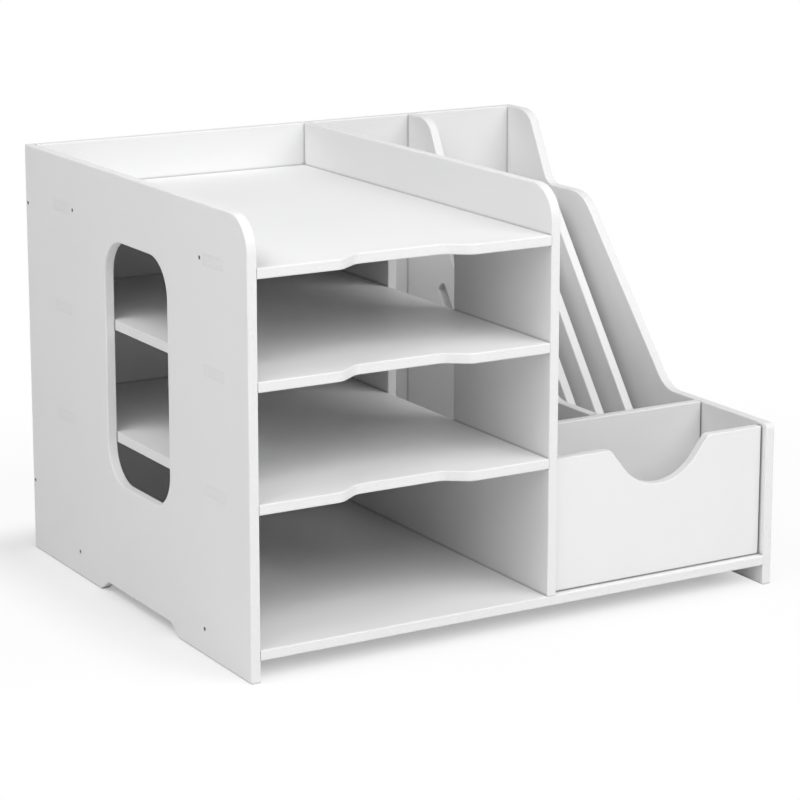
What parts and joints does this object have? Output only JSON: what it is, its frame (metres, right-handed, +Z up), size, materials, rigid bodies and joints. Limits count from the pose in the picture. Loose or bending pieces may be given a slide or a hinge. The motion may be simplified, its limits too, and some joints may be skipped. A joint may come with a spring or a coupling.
{
  "type": "desk organizer",
  "caption": "White board desk organizer with flat paper trays, a stepped upright file rack with sloping dividers and a pull-out drawer with a finger cut-out.",
  "frame": {"origin": "centre of the footprint, on the surface that the organizer stands on", "axes": "+X to the right seen from the front, -Y towards the user, +Z up"},
  "size_m": [0.413, 0.344, 0.3],
  "materials": {
    "white_board": "smooth white satin laminate",
    "screw_steel": "blackened",
    "dowel_wood": "bare"
  },
  "bodies": {
    "cabinet": {"left_side_panel": "white_board", "tray_divider": "white_board", "right_end_panel": "white_board", "bottom_board": "white_board", "back_panel": "white_board", "lower_shelf": "white_board", "middle_shelf": "white_board", "top_shelf": "white_board", "file_partition": "white_board", "left_file_divider": "white_board", "middle_file_divider": "white_board", "right_file_divider": "white_board", "left_panel_screws": "screw_steel", "right_panel_screws": "screw_steel", "back_panel_screws": "screw_steel", "bottom_board_screws": "screw_steel"},
    "drawer": {"drawer_front": "white_board", "drawer_back": "white_board", "drawer_left_side": "white_board", "drawer_right_side": "white_board", "drawer_bottom": "white_board", "drawer_screws": "screw_steel", "drawer_dowels": "dowel_wood"}
  },
  "joints": [
    {"name": "drawer_slide", "type": "slide", "parent": "cabinet", "child": "drawer", "axis": [0, -1, 0], "range_m": [0, 0.065]}
  ]
}
